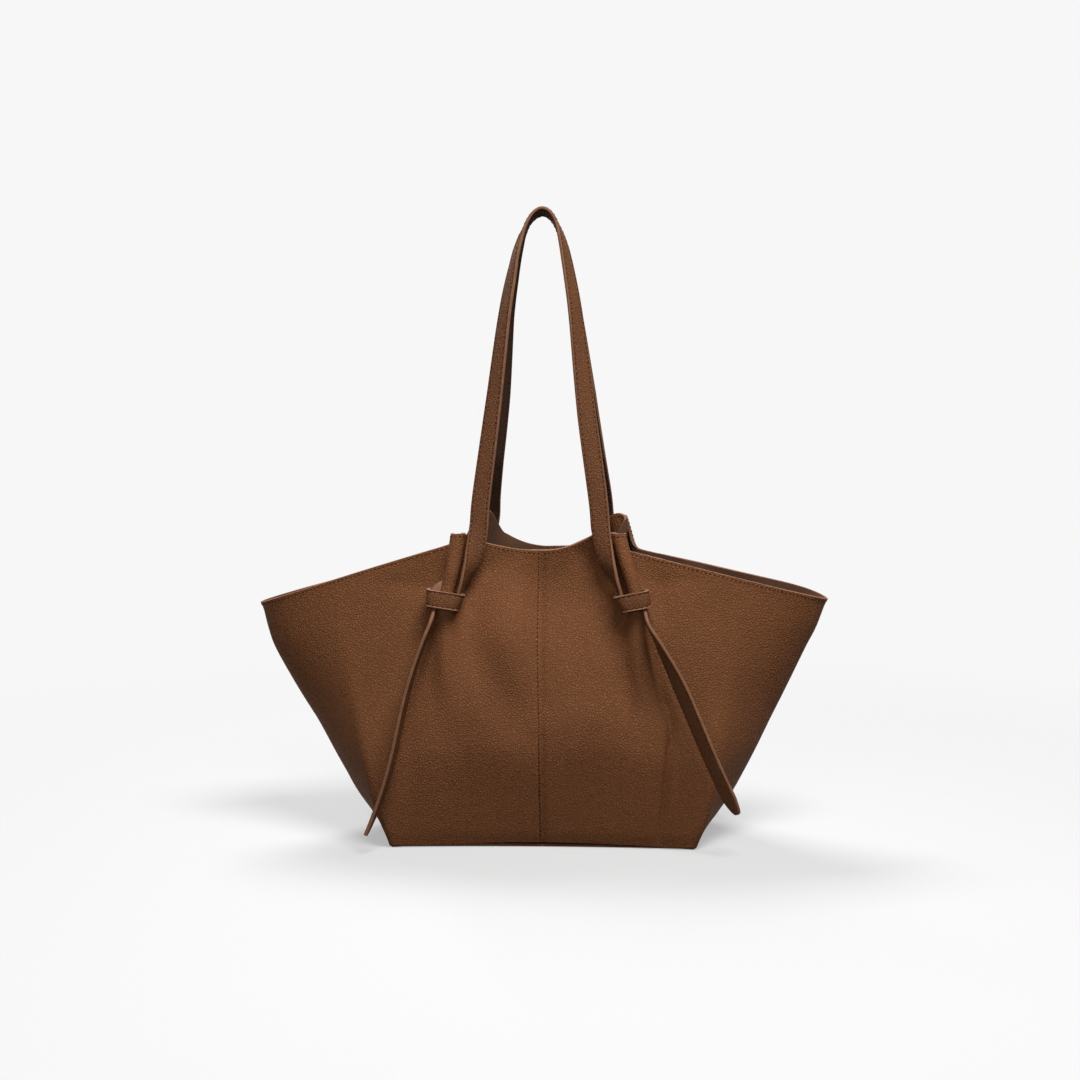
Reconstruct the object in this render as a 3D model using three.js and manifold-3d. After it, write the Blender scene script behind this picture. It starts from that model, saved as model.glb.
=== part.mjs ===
// Soft leather tote bag: two wrap-around body panels, a flat base, pleated top corners and two
// strap handles, each knotted through a pleat and left hanging as a loose tail.
// Millimetres, +Z up, front towards -Y. The rear is the front turned half a turn about Z.
import * as THREE from 'three';
import { mergeVertices } from 'three/addons/utils/BufferGeometryUtils.js';
import Module from 'manifold-3d';

const wasm = await Module();
wasm.setup();

// Leather and gaps
const LEATHER = 1.8;
const GAP = 0.3;
const FACING = 1.0;
const FACING_GAP = 0.7;
const FACING_ROWS = 2;
const PLY = 1.6;
const STRAP_WIDTH = 17;

// Base
const BASE_HALF_WIDTH = 136;
const BASE_HALF_DEPTH = 58;
const BASE_BOW = 5;
const BASE_CORNER = 12;
const BASE_POINTS = 16;
const BOARD_THICKNESS = 2.5;
const BOARD_INSET = 7;

// Rim, from the middle seam out to the wing tip
const RIM_MIDDLE = { y: -42, z: 265 };
const PLEAT_ROOT_INNER = { x: 49, y: -45, z: 275 };
const EAR = { x: 71, z: 280.5 };
const PLEAT_ROOT_OUTER = { x: 93, y: -44, z: 262 };
const WING_TIP = { x: 256.5, z: 214 };
const WING_ROUNDNESS = 2.2;

// Shape of the walls
const BELLY = 17;
const BELLY_POWER = 0.6;
const BELLY_FADE = 1.22;
const SIDE_BULGE = 11;
const SIDE_BULGE_POWER = 0.75;
const SIDE_BULGE_START = 0.45;
const PLEAT_SHIFT = 14.5;
const PLEAT_SHIFT_POWER = 3.1;
const PLEAT_START_Z = 105;
const PLEAT_FULL_Z = 212;
const PLEAT_OPEN_Z = 237;
const EAR_DEPTH_RATIO = 0.78;
const MIDDLE_COLUMNS = 4;
const WING_COLUMNS = 9;
const ROWS = 14;
// Half of the pleat's fold at its fullest: distance from its middle line, and how far it stands out
const PLEAT_FOLD = [
  [22, 0], [15, 0.8], [10.5, 3.6], [8.7, 8.5], [8, 13.5], [5.4, 17.2], [0, 18.5],
];
const PLEAT_HALF_WIDTH = PLEAT_FOLD[0][0];
const PLEAT_DEPTH = PLEAT_FOLD[PLEAT_FOLD.length - 1][1];

// Lapped middle seams: each half lies over the other on one face and under it on the other
const LAP = 8;
const LAP_STEP = 4;
const LAP_EDGE = 1;

// Knots: the strap goes round each pleat and through a slit in both of its sides
const KNOT = { x: 81, z: 223, width: 31.6, back: -52.3, front: -72.5, corner: 5, tilt: 6 };
const SLIT = { width: 40, height: 18.4, slack: 0.7 };

// Handle, from the knot up to the middle: place, and turn of the strap's face from front to outward
const HANDLE_PATH = [
  { x: 65, y: -61, z: 242, turn: -71 },
  { x: 58.5, y: -59, z: 257.5, turn: -36 },
  { x: 53, y: -53, z: 283, turn: -2 },
  { x: 51, y: -48.5, z: 311, turn: 5 },
  { x: 41, y: -37, z: 387, turn: 26 },
  { x: 32, y: -26, z: 464, turn: 49 },
  { x: 26, y: -19, z: 502, turn: 60 },
  { x: 20, y: -14.5, z: 530, turn: 75 },
  { x: 11.5, y: -11.3, z: 552, turn: 95 },
  { x: 0, y: -10.6, z: 560.6, turn: 109 },
];
const HANDLE_STEPS = 3;

// Tails: top (where the strap leaves the knot) to tip, and the turn of the face from edge-on
const TAIL_LEFT = { top: [-94, -69, 204.5], tip: [-152, -81, 20], sag: 0, turn: 12, taper: 26 };
const TAIL_RIGHT = { top: [94, -69, 204.5], tip: [174, -81, 40], sag: -2, turn: 30, taper: 12 };
const TAIL_STEPS = 8;
const TAIL_TIP_RATIO = 0.25;
const END_STEPS = 4;
const END_BLUNTNESS = 0.4;

const COLOURS = {
  panel: 0x71503a,
  strap: 0x5e402d,
  strapLining: 0x553a29,
  base: 0x52341f,
  facing: 0x5b4030,
  board: 0x3e2f26,
};

const group = new THREE.Group();
const mix = THREE.MathUtils.lerp;
const rad = THREE.MathUtils.degToRad;
const { smoothstep } = THREE.MathUtils;

function material(colour, roughness) {
  return new THREE.MeshStandardMaterial({ color: colour, roughness, metalness: 0 });
}

function addMesh(name, geometry, colour, roughness) {
  const mesh = new THREE.Mesh(geometry, material(colour, roughness));
  mesh.name = name;
  group.add(mesh);
}

// Triangles that close the first and the last loop of a loft, for loops with no hollows
function fanEnds(count, last) {
  const index = [];
  for (let i = 1; i + 1 < count; i += 1) {
    index.push(0, i + 1, i);
    index.push(last, last + i, last + i + 1);
  }
  return index;
}

// The same for thin loops, which run up an outer side and down an inner side
function stripEnds(count, last) {
  const index = [];
  for (let i = 0; i + 1 < count / 2; i += 1) {
    const far = count - 1 - i;
    index.push(i, far, i + 1, i + 1, far, far - 1);
    index.push(last + i, last + i + 1, last + far, last + i + 1, last + far - 1, last + far);
  }
  return index;
}

// Closed solid from rows of points that run round a loop: sides between the rows, and both ends closed.
// The sides named in flipped are split along their other diagonal.
function loopLoft(loops, closeEnds, flipped = []) {
  const count = loops[0].length;
  const positions = loops.flat().flatMap((point) => [point.x, point.y, point.z]);
  const index = [];
  for (let row = 0; row + 1 < loops.length; row += 1) {
    for (let i = 0; i < count; i += 1) {
      const next = (i + 1) % count;
      const a = row * count + i;
      const b = row * count + next;
      if (flipped.includes(i)) {
        index.push(a, b, a + count, b, b + count, a + count);
      } else {
        index.push(a, b, b + count, a, b + count, a + count);
      }
    }
  }
  index.push(...closeEnds(count, (loops.length - 1) * count));
  const geometry = new THREE.BufferGeometry();
  geometry.setAttribute('position', new THREE.Float32BufferAttribute(positions, 3));
  geometry.setIndex(index);
  return geometry;
}

// Thin closed solid between an outer and an inner grid of points (same rows and columns)
function shell(outer, inner) {
  const loops = outer[0].map((_, column) => {
    const up = outer.map((row) => row[column]);
    const down = inner.map((row) => row[column]).reverse();
    return [...up, ...down];
  });
  return loopLoft(loops, stripEnds);
}

function toManifold(geometry) {
  const bare = geometry.clone();
  bare.deleteAttribute('normal');
  bare.deleteAttribute('uv');
  const merged = mergeVertices(bare, 1e-4);
  const mesh = new wasm.Mesh({
    numProp: 3,
    vertProperties: new Float32Array(merged.attributes.position.array),
    triVerts: new Uint32Array(merged.index.array),
  });
  return new wasm.Manifold(mesh);
}

function toGeometry(solid) {
  const mesh = solid.getMesh();
  const geometry = new THREE.BufferGeometry();
  geometry.setAttribute('position', new THREE.Float32BufferAttribute(mesh.vertProperties, 3));
  geometry.setIndex(Array.from(mesh.triVerts));
  return geometry;
}

// One quarter of the base outline, from the middle of the front edge to the middle of the side
function baseQuarter() {
  const path = new THREE.Path();
  const bendX = BASE_HALF_WIDTH - BASE_CORNER;
  path.moveTo(0, -BASE_HALF_DEPTH + BASE_BOW);
  path.quadraticCurveTo(bendX / 2, -BASE_HALF_DEPTH + BASE_BOW, bendX, -BASE_HALF_DEPTH);
  path.absarc(bendX, -BASE_HALF_DEPTH + BASE_CORNER, BASE_CORNER, -Math.PI / 2, 0, false);
  path.lineTo(BASE_HALF_WIDTH, 0);
  return path;
}

// Columns of the wall in one quarter: where each meets the rim, and its place in the pleat
function quarterColumns() {
  const columns = [];
  for (let i = 0; i < MIDDLE_COLUMNS; i += 1) {
    const t = i / MIDDLE_COLUMNS;
    columns.push({
      x: PLEAT_ROOT_INNER.x * t,
      y: mix(RIM_MIDDLE.y, PLEAT_ROOT_INNER.y, t),
      z: mix(RIM_MIDDLE.z, PLEAT_ROOT_INNER.z, t * t),
      shift: t,
      fold: null,
    });
  }
  const inner = PLEAT_FOLD.map(([away, out]) => [-away, out]);
  const outer = PLEAT_FOLD.slice(0, -1).reverse();
  [...inner, ...outer].forEach(([away, out]) => {
    const t = (away + PLEAT_HALF_WIDTH) / (2 * PLEAT_HALF_WIDTH);
    const side = away < 0 ? PLEAT_ROOT_INNER : PLEAT_ROOT_OUTER;
    columns.push({
      x: EAR.x + away,
      y: mix(PLEAT_ROOT_INNER.y, PLEAT_ROOT_OUTER.y, t),
      z: mix(side.z, EAR.z, out / PLEAT_DEPTH),
      shift: 1,
      fold: { away, out },
    });
  });
  for (let i = 1; i <= WING_COLUMNS; i += 1) {
    const t = Math.sin((i / WING_COLUMNS) * Math.PI * 0.5);
    columns.push({
      x: mix(PLEAT_ROOT_OUTER.x, WING_TIP.x, t),
      y: PLEAT_ROOT_OUTER.y * Math.sqrt(1 - t ** WING_ROUNDNESS),
      z: mix(PLEAT_ROOT_OUTER.z, WING_TIP.z, t),
      shift: Math.max(0, 1 - 2 * t),
      fold: null,
    });
  }
  return placeOnBase(columns);
}

// Spread the columns along the base outline by their distance along the leather at the rim
function placeOnBase(columns) {
  const along = [0];
  for (let i = 1; i < columns.length; i += 1) {
    const before = columns[i - 1];
    const here = columns[i];
    const out = (here.fold?.out ?? 0) - (before.fold?.out ?? 0);
    along.push(along[i - 1] + Math.hypot(here.x - before.x, here.y - before.y - out));
  }
  const path = baseQuarter();
  const total = along[along.length - 1];
  return columns.map((column, i) => {
    const foot = path.getPointAt(along[i] / total);
    return { ...column, foot, part: along[i] / total };
  });
}

// How far a pleat is folded at a height: nothing low down, fullest at the knot, open at the ear
function foldAmount(z) {
  const closing = smoothstep(z, PLEAT_START_Z, PLEAT_FULL_Z);
  const opening = smoothstep(z, PLEAT_OPEN_Z, EAR.z);
  return closing * mix(1, EAR_DEPTH_RATIO, opening);
}

// Swelling over a height fraction from 0 to 1, fullest below the middle for powers under 1
function arch(v, power) {
  return Math.sin(Math.PI * v ** power);
}

// Point of the outer wall for one column at height fraction v, in the right front quarter
function wallPoint(column, v) {
  const z = mix(LEATHER + GAP, column.z, v);
  const belly = BELLY * arch(v, BELLY_POWER) * Math.max(0, 1 - BELLY_FADE * column.part ** 2);
  const bulge = SIDE_BULGE * arch(v, SIDE_BULGE_POWER) * smoothstep(column.part, SIDE_BULGE_START, 1);
  const push = PLEAT_SHIFT * arch(v, PLEAT_SHIFT_POWER) * column.shift;
  const fold = foldAmount(z) * (column.fold?.out ?? 0) * (1 - belly / PLEAT_DEPTH);
  const x = mix(column.foot.x, column.x, v) + push + bulge;
  const y = mix(column.foot.y, column.y, v) - belly - fold;
  return new THREE.Vector3(x, y, z);
}

// Outer wall of the left half: front seam, round the wing tip, to the lap under the rear seam
function halfGrid() {
  const columns = quarterColumns();
  const flip = new THREE.Vector3(-1, 1, 1);
  const toRear = new THREE.Vector3(1, -1, 1);
  const sunk = LEATHER + GAP;
  return Array.from({ length: ROWS }, (_, row) => {
    const front = columns.map((column) => wallPoint(column, row / (ROWS - 1)).multiply(flip));
    const rear = front.slice(1, -1).reverse().map((point) => point.clone().multiply(toRear));
    const seam = front[0].clone().multiply(toRear);
    const lap = [
      new THREE.Vector3(-LAP_STEP - LAP_EDGE, seam.y, seam.z),
      new THREE.Vector3(-LAP_EDGE, seam.y - sunk, seam.z),
      new THREE.Vector3(LAP, seam.y - sunk, seam.z),
    ];
    return [...front, ...rear, ...lap];
  });
}

// Same grid moved inwards by a distance, along the normals of the surface
function inset(grid, distance) {
  return grid.map((row, r) => row.map((point, c) => {
    const above = grid[Math.min(r + 1, grid.length - 1)][c];
    const below = grid[Math.max(r - 1, 0)][c];
    const ahead = row[Math.min(c + 1, row.length - 1)];
    const behind = row[Math.max(c - 1, 0)];
    const along = new THREE.Vector3().subVectors(ahead, behind);
    const up = new THREE.Vector3().subVectors(above, below);
    const inward = along.cross(up);
    inward.z = 0;
    return point.clone().addScaledVector(inward.normalize(), distance);
  }));
}

function slitCutter(sideY) {
  const thickness = 2 * PLY + GAP + 2 * SLIT.slack;
  const box = new THREE.BoxGeometry(SLIT.width, thickness, SLIT.height);
  const middle = KNOT.back - PLY - GAP / 2;
  box.rotateY(rad(KNOT.tilt));
  box.translate(-KNOT.x, middle * sideY, KNOT.z);
  return toManifold(box);
}

function halfPanel() {
  const outer = halfGrid();
  const solid = toManifold(shell(outer, inset(outer, LEATHER)));
  return toGeometry(solid.subtract(slitCutter(1)).subtract(slitCutter(-1)));
}

// Strip of leather sewn inside the rim of one half, stopping short of the lapped seams
function halfFacing() {
  const grid = halfGrid();
  const strip = (distance) => inset(grid, distance).slice(-FACING_ROWS).map((row) => row.slice(2, -3));
  return shell(strip(LEATHER + FACING_GAP), strip(LEATHER + FACING_GAP + FACING));
}

function baseOutline(inward) {
  const scaleX = (BASE_HALF_WIDTH - inward) / BASE_HALF_WIDTH;
  const scaleY = (BASE_HALF_DEPTH - inward) / BASE_HALF_DEPTH;
  const mirrored = (points, x, y) => points.reverse().map((p) => new THREE.Vector2(p.x * x, p.y * y));
  const spaced = baseQuarter().getSpacedPoints(BASE_POINTS);
  const quarter = spaced.map((p) => new THREE.Vector2(p.x * scaleX, p.y * scaleY));
  const half = [...quarter, ...mirrored(quarter.slice(0, -1), 1, -1)];
  return new THREE.Shape([...half, ...mirrored(half.slice(1, -1), -1, 1)]);
}

function baseSheet(inward, thickness, z) {
  const sheet = new THREE.ExtrudeGeometry(baseOutline(inward), { depth: thickness, bevelEnabled: false });
  sheet.translate(0, 0, z);
  return sheet;
}

// Strap from stations of place, direction, face normal and width, as one ply on one side of its middle.
// Both faces are split along the same diagonals, so that twisted plies stay parallel.
function strapPly(stations, side) {
  const away = side * (PLY + GAP) / 2;
  const loops = stations.map(({ place, tangent, normal, width }) => {
    const across = new THREE.Vector3().crossVectors(tangent, normal).normalize();
    const corner = (w, n) => place.clone()
      .addScaledVector(across, w * width / 2)
      .addScaledVector(normal, away + n * PLY / 2);
    return [corner(-1, -1), corner(-1, 1), corner(1, 1), corner(1, -1)];
  });
  return loopLoft(loops, fanEnds, [3]);
}

// Stations of a half-round strap end, running on from a station along a direction
function roundEnd(station, direction) {
  const radius = STRAP_WIDTH / 2;
  return Array.from({ length: END_STEPS }, (_, i) => {
    const angle = ((i + 1) / (END_STEPS + END_BLUNTNESS)) * Math.PI * 0.5;
    const place = station.place.clone().addScaledVector(direction, radius * Math.sin(angle));
    return { ...station, place, width: STRAP_WIDTH * Math.cos(angle) };
  });
}

function handleStations() {
  const left = HANDLE_PATH.map(({ x, y, z }) => new THREE.Vector3(-x, y, z));
  const right = HANDLE_PATH.slice(0, -1).reverse().map(({ x, y, z }) => new THREE.Vector3(x, y, z));
  const curve = new THREE.CatmullRomCurve3([...left, ...right]);
  const turns = HANDLE_PATH.map(({ turn }) => turn);
  const bothTurns = [...turns, ...turns.slice(0, -1).reverse()];
  const twist = new THREE.SplineCurve(bothTurns.map((turn, i) => new THREE.Vector2(i, turn)));
  const count = (bothTurns.length - 1) * HANDLE_STEPS;
  const stations = Array.from({ length: count + 1 }, (_, i) => {
    const t = i / count;
    const tangent = curve.getTangent(t);
    const outward = new THREE.Vector3(-tangent.z, 0, tangent.x).normalize();
    const front = new THREE.Vector3().crossVectors(tangent, outward).normalize();
    const angle = rad(twist.getPoint(t).y);
    const normal = front.multiplyScalar(Math.cos(angle)).addScaledVector(outward, Math.sin(angle));
    return { place: curve.getPoint(t), tangent, normal, width: STRAP_WIDTH };
  });
  const first = stations[0];
  const last = stations[stations.length - 1];
  const start = roundEnd(first, first.tangent.clone().negate()).reverse();
  return [...start, ...stations, ...roundEnd(last, last.tangent)];
}

function tailStations({ top, tip, sag, turn, taper }) {
  const start = new THREE.Vector3(...top);
  const end = new THREE.Vector3(...tip);
  const outward = Math.sign(start.x);
  const middle = start.clone().lerp(end, 0.5).add(new THREE.Vector3(-outward * sag, 0, -sag));
  const curve = new THREE.QuadraticBezierCurve3(start, middle, end);
  const length = curve.getLength();
  const stations = Array.from({ length: TAIL_STEPS + 1 }, (_, i) => {
    const t = i / TAIL_STEPS;
    const tangent = curve.getTangentAt(t);
    const edge = new THREE.Vector3(outward * Math.sin(rad(turn)), -Math.cos(rad(turn)), 0);
    const normal = new THREE.Vector3().crossVectors(edge, tangent).normalize();
    const left = length * (1 - t);
    const narrowing = Math.min(1, mix(TAIL_TIP_RATIO, 1, Math.sqrt(left / taper)));
    return { place: curve.getPointAt(t), tangent, normal, width: STRAP_WIDTH * narrowing };
  });
  const begin = roundEnd(stations[0], stations[0].tangent.clone().negate()).reverse();
  return [...begin, ...stations];
}

// Rounded rectangle lying flat, as the path of one face of the wrapped strap
function wrapOutline(grow, target) {
  const halfX = KNOT.width / 2 + grow;
  const halfY = (KNOT.back - KNOT.front) / 2 + grow;
  const radius = KNOT.corner + grow;
  target.moveTo(-halfX + radius, -halfY);
  target.absarc(halfX - radius, -halfY + radius, radius, -Math.PI / 2, 0, false);
  target.absarc(halfX - radius, halfY - radius, radius, 0, Math.PI / 2, false);
  target.absarc(-halfX + radius, halfY - radius, radius, Math.PI / 2, Math.PI, false);
  target.absarc(-halfX + radius, -halfY + radius, radius, Math.PI, Math.PI * 1.5, false);
  return target;
}

// One ply of the strap where it is wound round a pleat, slanting down towards the middle of the bag
function knotPly(depth, sideX) {
  const shape = wrapOutline(-depth, new THREE.Shape());
  shape.holes.push(wrapOutline(-depth - PLY, new THREE.Path()));
  const options = { depth: STRAP_WIDTH, bevelEnabled: false, curveSegments: 4 };
  const ply = new THREE.ExtrudeGeometry(shape, options);
  ply.translate(0, 0, -STRAP_WIDTH / 2);
  ply.rotateY(rad(-KNOT.tilt * sideX));
  ply.translate(KNOT.x * sideX, (KNOT.back + KNOT.front) / 2, KNOT.z);
  return ply;
}

// The same piece on the front face and, turned half a turn, on the rear face
function addFrontAndRear(frontName, rearName, build, colour, roughness) {
  addMesh(frontName, build(), colour, roughness);
  addMesh(rearName, build().rotateZ(Math.PI), colour, roughness);
}

function addBody() {
  addFrontAndRear('left_body_panel', 'right_body_panel', halfPanel, COLOURS.panel, 0.5);
  addFrontAndRear('left_rim_facing', 'right_rim_facing', halfFacing, COLOURS.facing, 0.7);
  addMesh('base_panel', baseSheet(0, LEATHER, 0), COLOURS.base, 0.55);
  addMesh('base_board', baseSheet(BOARD_INSET, BOARD_THICKNESS, LEATHER + GAP), COLOURS.board, 0.9);
}

function addHandles() {
  const outer = () => strapPly(handleStations(), 1);
  const lining = () => strapPly(handleStations(), -1);
  addFrontAndRear('front_handle_outer_ply', 'rear_handle_outer_ply', outer, COLOURS.strap, 0.45);
  addFrontAndRear('front_handle_lining_ply', 'rear_handle_lining_ply', lining, COLOURS.strapLining, 0.55);
}

// On the rear face the strap ends swap sides with the half turn
function addKnotsAndTails() {
  const sides = [
    { here: 'left', there: 'right', sideX: -1, tail: TAIL_LEFT },
    { here: 'right', there: 'left', sideX: 1, tail: TAIL_RIGHT },
  ];
  sides.forEach(({ here, there, sideX, tail }) => {
    const piece = (what) => [`front_${here}_${what}`, `rear_${there}_${what}`];
    const wrap = () => knotPly(0, sideX);
    const wrapLining = () => knotPly(PLY + GAP, sideX);
    const end = () => strapPly(tailStations(tail), 1);
    const endLining = () => strapPly(tailStations(tail), -1);
    addFrontAndRear(...piece('knot_outer_ply'), wrap, COLOURS.strap, 0.45);
    addFrontAndRear(...piece('knot_lining_ply'), wrapLining, COLOURS.strapLining, 0.55);
    addFrontAndRear(...piece('tail_outer_ply'), end, COLOURS.strap, 0.45);
    addFrontAndRear(...piece('tail_lining_ply'), endLining, COLOURS.strapLining, 0.55);
  });
}

addBody();
addHandles();
addKnotsAndTails();

export default group;
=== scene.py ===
"""Soft leather tote bag with knotted strap handles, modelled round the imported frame.

Lengths are in millimetres while shapes are worked out, and in metres in Blender's meshes.
The front of the bag faces -Y. The straps at the rear are those at the front, turned half a turn about Z,
apart from how the handles lean and stand out.
"""
import math

import bpy
import numpy as np
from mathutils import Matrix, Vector


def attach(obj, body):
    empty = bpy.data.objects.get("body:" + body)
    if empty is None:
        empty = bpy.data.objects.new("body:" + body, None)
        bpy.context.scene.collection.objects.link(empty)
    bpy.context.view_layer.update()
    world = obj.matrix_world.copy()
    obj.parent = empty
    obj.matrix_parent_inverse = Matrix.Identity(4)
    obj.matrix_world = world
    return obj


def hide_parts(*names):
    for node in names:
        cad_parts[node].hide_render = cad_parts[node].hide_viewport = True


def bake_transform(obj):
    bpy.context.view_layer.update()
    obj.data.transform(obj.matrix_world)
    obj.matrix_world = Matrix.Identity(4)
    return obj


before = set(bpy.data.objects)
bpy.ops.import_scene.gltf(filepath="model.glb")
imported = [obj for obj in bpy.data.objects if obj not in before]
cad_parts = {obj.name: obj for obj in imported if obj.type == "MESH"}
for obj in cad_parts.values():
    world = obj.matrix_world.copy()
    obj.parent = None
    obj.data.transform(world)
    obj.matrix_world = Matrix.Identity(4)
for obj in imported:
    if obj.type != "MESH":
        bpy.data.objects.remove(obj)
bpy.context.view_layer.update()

MM = 0.001
PROFILE_STEPS = 8
SIDES = {-1: "left", 1: "right"}

# Camera of the photograph, from the wing tips, base corners, knots and rim, in metres and degrees
CAMERA_YAW = 3.7
CAMERA_ELEVATION = 6.0
CAMERA_DISTANCE = 1.7
CAMERA_TARGET = (-0.004, 0.0, 0.269)
FRAME_WIDTH = 0.972
SENSOR = 36.0

# Lamps, in metres and watts: place, width and height, and power. All aim at the middle of the bag.
LAMP_AIM = (0.0, 0.0, 0.22)
LAMPS = {
    "key": ((0.48, -0.92, 2.05), (1.0, 0.7), 74.0),
    "fill": ((-0.2, -1.75, 0.8), (1.2, 1.0), 9.5),
    "rear_key": ((-0.48, 0.92, 2.05), (1.0, 0.7), 62.0),
}
SOFT_LIGHT = 0.06

# Floor and background: shades of grey, and where the floor fades to the background, in metres
BACKGROUND_GREY = 0.93
FLOOR_GREY = 0.42
FLOOR_BOUNCE_GREY = 0.08
FLOOR_RADIUS = 6000.0
FLOOR_SIDES = 96
FLOOR_FADE = (0.25, 1.1)
FLOOR_LEAST_FADE = 0.45

# Leather: thickness of the walls and the facing, how the facing lies, and how far the top edges are rounded
LEATHER = 1.8
FACING = 1.0
FACING_HEIGHT = 26.0
FACING_GAP = 0.08
FACING_LAP_GAP = 0.2
FACING_LAP_RAMP = (3.0, 14.0)
PANEL_EDGE_RISE = 0.5
FACING_EDGE_RISE = 0.35
EDGE_PARTS = (0.2, 0.5, 0.8)

# Base, its twist in degrees, and the foot of the walls round it
BASE_HALF_WIDTH = 136.0
BASE_HALF_DEPTH = 58.0
BASE_BOW = 5.0
BASE_CORNER = 5.0
BASE_ROLL = 2.6
BASE_TWIST = 1.8
BASE_EDGE_POINTS = 40
BASE_CORNER_POINTS = 20
FOOT_HEIGHT = 0.1
FOOT_RISE = 4.8
FOOT_TUCK = 1.4
FOOT_TUCK_HEIGHT = 16.0
# Rings of the base sheet from its underside round its rolled edge to its top: inset and height
BASE_RINGS = [(30.0, 0.0), (9.0, 0.0), (6.0, 0.0), (4.4, 0.5), (3.4, 1.4), (4.2, 2.2), (9.0, 2.0)]
# Size of the rings that close the sheet in its middle, as a part of the outline
BASE_MIDDLE = 0.02

# Seams: the lapped strip, how its layers are let into each other, and the groove of the stitches
LAP = 8.0
LAP_STEP = 1.2
LAP_SINK = 2.0
LAP_GAP = 0.1
LAP_RAMP = (0.3, 5.0)
SKIVE_WIDTH = 9.0
SEAM_ROW = 2.5
SEAM_GROOVE = 0.9
SEAM_GROOVE_WIDTH = 0.8
SEAM_EDGE_ROUND = 0.3
SEAM_EDGE_RAMP = (-0.4, 1.0)
SEAM_TOLERANCE = 0.01
# Shallow valley along the seam: depth, half width, and the heights between which it comes and goes
SEAM_VALLEY = {"depth": 1.2, "half_width": 15.0, "rise": (50.0, 100.0), "fall": (130.0, 220.0)}

# Grid of a wall: columns beside the seam, in the rest of the middle, in the pleat and in the wing, and rows
# as parts of the height
LAP_COLUMNS = [-LAP, -4.0, -1.5]
SEAM_COLUMNS = [0.0, 0.5, 1.2, SEAM_ROW, 3.8, 5.2, 7.0, 9.5]
MIDDLE_START = 13.0
MIDDLE_COLUMNS = 9
PLEAT_STEPS = 5
WING_COLUMNS = 80
RIM_STITCH_ROW = 0.9915
FOOT_ROWS = [0.0, 0.006, 0.012, 0.02, 0.03]
PLAIN_ROWS = (0.042, 0.964, 62)
RIM_ROWS = [0.974, 0.983, RIM_STITCH_ROW, 0.9955, 0.998, 1.0]

# Rim, from the middle seam out to the wing tip
RIM_MIDDLE_Y = -42.0
ROOT_INNER_Y = -45.0
ROOT_OUTER_Y = -44.0
EAR_RISE_DEPTH = 11.0
EAR_DROP_POWER = 1.5
# Brings the highest point of the flare's curve to about one
FLARE_SCALE = 17.6
# Wing tips: distance from the middle, height, and how straight the wing runs before it turns round
WING_TIP = {
    "left": {"x": 259.0, "z": 210.5, "power": 3.0},
    "right": {"x": 254.0, "z": 218.0, "power": 2.0},
}
# Rim of each quarter: heights at the middle, at both roots of the pleat and at the ear between them, place
# of the ear, where along the fold the inner root reaches the ear's height, how far the ear's crest leans
# sideways and how much lower it is, and how far the wing's rim curves up in its middle and near its tip
RIMS = {
    "front_left": {
        "middle": 264, "inner": 270.5, "ear": 280, "outer": 265.5, "ear_x": 70, "rise": -8,
        "lean": 3, "drop": 0, "crown": 1.5, "flare": 0,
    },
    "front_right": {
        "middle": 264, "inner": 278.5, "ear": 281, "outer": 261, "ear_x": 68, "rise": -8,
        "lean": 0, "drop": 0, "crown": 1, "flare": 0,
    },
    "rear_left": {
        "middle": 259, "inner": 269.5, "ear": 291, "outer": 257, "ear_x": 60, "rise": -13,
        "lean": 0, "drop": 2, "crown": 0, "flare": 0,
    },
    "rear_right": {
        "middle": 259, "inner": 263, "ear": 292, "outer": 253, "ear_x": 78, "rise": -8,
        "lean": -22, "drop": 12, "crown": 1.2, "flare": 2,
    },
}

# Walls
# Belly: part of the height, and how far the wall stands out from a straight one, where it leans back
# freely, where it hangs from a knot, and in the wings
BELLY = [
    (0, 0), (0.15, 10.4), (0.3, 20.2), (0.38, 22.4), (0.45, 21.8), (0.58, 15.4), (0.66, 10.8), (0.74, 5.2),
    (0.8, 0.4), (0.86, -2.6), (0.92, -3), (1, 0),
]
HUNG_BELLY = [
    (0, 0), (0.15, 10), (0.3, 19.2), (0.38, 20.6), (0.5, 19.8), (0.6, 19.2), (0.68, 18), (0.74, 15),
    (0.79, 11), (0.84, 6.4), (0.88, 3), (0.92, 0.8), (1, 0),
]
WING_BELLY = [
    (0, 0), (0.15, 10), (0.3, 17), (0.4, 18.2), (0.5, 16.6), (0.6, 13.6), (0.7, 10.4), (0.8, 7), (0.9, 3.5),
    (1, 0),
]
# Distances from the middle between which the wing's belly takes over
WING_BLEND = (88.0, 128.0)
# How fast the belly fades towards the narrow side, low and high on the wall, and where the one turns into
# the other as parts of the height
LOW_BELLY_FADE = 0.7
BELLY_FADE = 1.22
BELLY_FADE_ROWS = (0.32, 0.62)
# How much of the wall hangs from the knot: distance from the middle, and part
HUNG = {
    "left": [
        (-20, 0), (0, 0.05), (10, 0.35), (22, 0.95), (32, 1), (44, 0.7), (58, 0.3), (68, 0.35), (80, 0.75),
        (88, 0.7), (104, 0.2), (116, 0), (300, 0),
    ],
    "right": [
        (-20, 0), (0, 0), (46, 0), (64, 0.7), (76, 1), (84, 1), (94, 0.7), (106, 0.2), (118, 0), (300, 0),
    ],
}
# How far the rim of the wings turns out, over what height, and where along the leather it starts and ends
LIP = 1.2
LIP_HEIGHT = 42.0
LIP_START = (0.33, 0.5)
LIP_END = (0.8, 1.0)
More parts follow.
